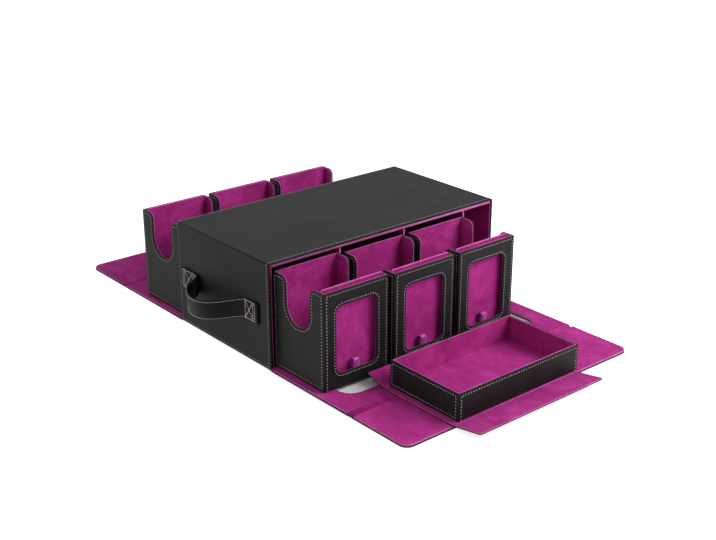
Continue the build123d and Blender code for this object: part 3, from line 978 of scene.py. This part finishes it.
strap = {
    "width": 24.5,
    "wall": 2.6,
    "rearEnd": 81.0,
    "rearPadEnd": 54.0,
    "frontPadEnd": -49.0,
    "frontEnd": -72.1,
    "rearHeight": 62.5,
    "frontHeight": 65.0,
    # the loop seen from above: place along the wall, distance off it, and how far it has dropped
    "loop": ((54.0, 0.0, 0.0), (51.0, 0.4, 0.2), (48.2, 1.8, 1.0), (47.4, 4.4, 2.8), (48.8, 8.2, 5.8),
             (49.6, 12.6, 9.2), (43.0, 18.6, 12.6), (30.0, 24.6, 13.2), (14.0, 28.6, 11.6), (0.0, 29.6, 9.6),
             (-12.0, 27.0, 7.6), (-22.5, 20.0, 5.6), (-31.5, 11.6, 3.6), (-41.0, 4.0, 1.2), (-49.0, 0.0, 0.0)),
    "samples": 6,           # stations between two points of the loop
    "lean": 3.0,            # degrees that the loop's face looks down at its furthest
    "padSteps": 8,          # stations along each sewn end
    "rowInset": 1.9,
    "padRow": 1.5,
    "padRowInner": 3.4,     # from the pad's outer row to its cross
}
# the sewn ends have smaller, closer and thicker stitches
padStitching = dict(stitching, pitchMm=2.8, threadMm=1.15, holeMm=0.6)


def strapStations(s):
    # (middle point, lean) along the strap
    wallX = caseLow.x - s["wall"] / 2
    ahead = []
    steps = s["padSteps"]
    for i in range(steps):
        share = i / steps
        ahead.append(Vector((s["rearEnd"] + (s["rearPadEnd"] - s["rearEnd"]) * share, 0, 0)))
    loop = smoothThrough([Vector(p) for p in s["loop"]], s["samples"])
    behind = []
    tongueY = s["frontEnd"] + s["wall"]
    for i in range(1, steps + 1):
        behind.append(Vector((s["frontPadEnd"] + (tongueY - s["frontPadEnd"]) * i / steps, 0, 0)))
    furthest = max(p.y for p in loop)
    spots = []
    for y, off, drop in ahead + loop + behind:
        share = (s["rearPadEnd"] - y) / (s["rearPadEnd"] - s["frontPadEnd"])
        share = min(max(share, 0), 1)
        z = s["rearHeight"] + (s["frontHeight"] - s["rearHeight"]) * share - drop
        spots.append((Vector((wallX - off, y, z)), s["lean"] * off / furthest))
    return spots


def strapFrames(s):
    spots = strapStations(s)
    frames = []
    for i, (point, lean) in enumerate(spots):
        before, after = spots[max(i - 1, 0)][0], spots[min(i + 1, len(spots) - 1)][0]
        along = after - before
        flat = Vector((along.x, along.y, 0)).normalized()
        outward = Vector((flat.y, -flat.x, 0))
        turn = Matrix.Rotation(math.radians(lean), 3, flat)
        frames.append((point, flat, turn @ outward, turn @ Vector((0, 0, 1))))
    return frames


def makeStrap(s):
    frames = strapFrames(s)
    half, wall = s["width"] / 2, s["wall"]
    profile = []
    for x, z, start in ((1, -1, -90), (1, 1, 0), (-1, 1, 90), (-1, -1, 180)):
        radius = wall / 2 - 0.1
        profile += [(x * (wall / 2 - radius) + px, z * (half - radius) + pz)
                    for px, pz in arcPoints((0, 0), radius, start, start + 90, 4)]
    piece = bmesh.new()
    rings = []
    for point, flat, outward, up in frames:
        rings.append([piece.verts.new(point + outward * a + up * b) for a, b in profile])
    count = len(profile)
    for first, second in zip(rings, rings[1:]):
        for i in range(count):
            piece.faces.new((first[i], first[(i + 1) % count], second[(i + 1) % count], second[i])).smooth = True
    piece.faces.new(rings[0])
    piece.faces.new(rings[-1][::-1])
    tongueY = s["frontEnd"] + wall / 2
    tongue = panelPlace((caseLow.x - wall, tongueY - wall / 2, s["frontHeight"]), (1, 0, 0))
    outline = roundRect(0, -half + 0.4, wall + 1.2, half - 0.4, (0.8,) * 4, 3)
    mesh = boardMesh([outline], wall, 0.6)
    mesh.transform(tongue @ Matrix.Translation((0, 0, -wall)))
    piece.from_mesh(mesh)
    bpy.data.meshes.remove(mesh)
    bmesh.ops.recalc_face_normals(piece, faces=piece.faces)
    finishPiece(piece, "handle_strap_made", [strapLeatherette], "casing", ["handle_strap"])

    reach = half - s["rowInset"]
    rows = []
    for height in (-reach, reach):
        rows.append(([point + outward * (wall / 2 + 0.1) + up * height
                      for point, flat, outward, up in frames[s["padSteps"]:-s["padSteps"]]], False))
    stitchPiece("handle_edge_stitches", rows, strapThread, "casing")
    crosses = []
    x = caseLow.x - wall - stitching["liftMm"]
    pad = s["padRow"]
    for y0, y1, z in ((s["rearPadEnd"] + 1, s["rearEnd"] - pad, s["rearHeight"]),
                      (s["frontEnd"] + wall + pad, s["frontPadEnd"] + 2.5, s["frontHeight"])):
        low, high = z - half + pad, z + half - pad
        crosses.append(([(x, y0, low), (x, y1, low), (x, y1, high), (x, y0, high)], True))
        a, b = y0 + s["padRowInner"], y1 - s["padRowInner"]
        for (ya, za), (yb, zb) in (((a, low), (a, high)), ((b, low), (b, high)), ((a, low), (b, high)),
                                   ((a, high), (b, low))):
            crosses.append(([(x, ya, za), (x, yb, zb)], False))
    stitchPiece("handle_box_stitches", crosses, strapThread, "casing", padStitching)


makeStrap(strap)
print("handle made")


stage = {
    "floorSize": 8.0,
    "floorDrop": 0.0006,
    "floorColour": "#f4f4f4",
    "floorRoughness": 0.9,
    "floorLift": 0.75,      # camera-only glow that takes the lit floor to white
    "worldStrength": 0.32,
    "frontReflection": 0.2,     # the room before the object mirrors darker than the sweep behind it
    "keyWatts": 19.0,
    "keyPlace": (0.72, -0.98, 0.94),
    "keySize": 0.85,
    "keyTarget": (0.04, -0.12, 0.04),
    "fillStrength": 0.72,
    "fillFrom": (-0.75, 0.45, 1.0),
    "fillSpread": 60,
    # the glow fades over the flap's window, which paints shade on the floor seen through it: axis, window's
    # middle, full fade, no fade
    "windowPaintedShade": (("X", 0.0, 0.14, 0.19), ("Y", -0.158, 0.035, 0.08)),
}


def backdropRays(tree):
    # 1 for the rays that see the backdrop itself, and the camera rays alone
    path = addNode(tree, "ShaderNodeLightPath").outputs
    seen = path["Is Camera Ray"]
    for ray in ("Is Glossy Ray", "Is Transmission Ray"):
        seen = addNode(tree, "ShaderNodeMath", {"operation": "MAXIMUM"}, {0: seen, 1: path[ray]}).outputs[0]
    return seen, path["Is Camera Ray"]


def makeStage(s):
    mesh = bpy.data.meshes.new("floor")
    half = s["floorSize"] / 2
    z = -s["floorDrop"]
    mesh.from_pydata([(-half, -half, z), (half, -half, z), (half, half, z), (-half, half, z)], [], [(0, 1, 2, 3)])
    floor = linkObject("floor", mesh)
    # photographer's paper sweep: matt and near white, so that it only shows by its shadows
    material, tree, shader, coords = newMaterial("paperSweep")
    setNode(tree, shader, {"Base Color": hexColour(s["floorColour"]), "Roughness": s["floorRoughness"]})
    seen = backdropRays(tree)[0]
    # painted shade: no glow on the floor under the flap's window, so that the floor looks shadowed there
    apart = addNode(tree, "ShaderNodeSeparateXYZ", links={"Vector": coords})
    windowShadeFades = []
    for axis, centre, start, end in s["windowPaintedShade"]:
        offset = addNode(tree, "ShaderNodeMath", {"operation": "SUBTRACT", 1: centre}, {0: apart.outputs[axis]})
        away = addNode(tree, "ShaderNodeMath", {"operation": "ABSOLUTE"}, {0: offset.outputs[0]})
        windowShadeFades.append(addNode(tree, "ShaderNodeMapRange", {"interpolation_type": "SMOOTHSTEP", "From Min": start,
                                                          "From Max": end}, {"Value": away.outputs[0]}))
    outside = addNode(tree, "ShaderNodeMath", {"operation": "MAXIMUM"},
                      {0: windowShadeFades[0].outputs["Result"], 1: windowShadeFades[1].outputs["Result"]})
    shown = addNode(tree, "ShaderNodeMath", {"operation": "MULTIPLY"},
                    {0: seen, 1: outside.outputs[0]})
    power = addNode(tree, "ShaderNodeMath", {"operation": "MULTIPLY", 1: s["floorLift"]},
                    {0: shown.outputs[0]})
    glow = addNode(tree, "ShaderNodeEmission", {"Color": (1, 1, 1, 1)}, {"Strength": power.outputs[0]})
    both = addNode(tree, "ShaderNodeAddShader", links={0: shader.outputs["BSDF"], 1: glow.outputs["Emission"]})
    tree.links.new(both.outputs[0], tree.nodes["Material Output"].inputs["Surface"])
    mesh.materials.append(material)

    world = bpy.data.worlds.new("studio")
    scene.world = world
    world.use_nodes = True
    tree = world.node_tree
    tree.nodes.clear()
    seen, cameraRay = backdropRays(tree)
    lighting = addNode(tree, "ShaderNodeBackground", {"Color": (1, 1, 1, 1), "Strength": s["worldStrength"]})
    direction = addNode(tree, "ShaderNodeTexCoord").outputs["Generated"]
    towards = addNode(tree, "ShaderNodeSeparateXYZ", links={"Vector": direction})
    mirrored = addNode(tree, "ShaderNodeMapRange", {"From Min": -0.7, "From Max": 0.7,
                                                    "To Min": s["frontReflection"], "To Max": 1.0},
                       {"Value": towards.outputs["Y"]})
    bright = addNode(tree, "ShaderNodeMath", {"operation": "MAXIMUM"},
                     {0: mirrored.outputs["Result"], 1: cameraRay})
    backdrop = addNode(tree, "ShaderNodeBackground", {"Color": (1, 1, 1, 1)}, {"Strength": bright.outputs[0]})
    mix = addNode(tree, "ShaderNodeMixShader", links={0: seen, 1: lighting.outputs[0],
                                                      2: backdrop.outputs[0]})
    addNode(tree, "ShaderNodeOutputWorld", links={"Surface": mix.outputs[0]})


def addSun(name, direction, spread, strength):
    # direction: from the object towards the lamp; spread: angle of the soft box in degrees
    light = bpy.data.lights.new(name, "SUN")
    light.angle = math.radians(spread)
    light.energy = strength
    lamp = linkObject(name, light)
    lamp.rotation_euler = (-Vector(direction)).to_track_quat("-Z", "Y").to_euler()


def addSoftbox(name, place, target, size, watts):
    light = bpy.data.lights.new(name, "AREA")
    light.size = size
    light.energy = watts
    lamp = linkObject(name, light)
    lamp.location = place
    lamp.rotation_euler = (Vector(target) - Vector(place)).to_track_quat("-Z", "Y").to_euler()


makeStage(stage)
addSoftbox("keySoftbox", stage["keyPlace"], stage["keyTarget"], stage["keySize"], stage["keyWatts"])
addSun("fillSoftbox", stage["fillFrom"], stage["fillSpread"], stage["fillStrength"])

cameraView = {
    "place": (-0.8868, -1.0891, 0.6142),
    "azimuth": -40.12,
    "elevation": 21.89,
    "lens": 60.79,
    "sensor": 36.0,
}
lensData = bpy.data.cameras.new("camera")
lensData.sensor_width = cameraView["sensor"]
lensData.lens = cameraView["lens"]
lensData.clip_start = 0.01
camera = linkObject("camera", lensData)
camera.location = cameraView["place"]
camera.rotation_euler = (math.radians(90 - cameraView["elevation"]), 0, math.radians(cameraView["azimuth"]))
scene.camera = camera
scene.view_settings.view_transform = "Standard"

print("scene ready")
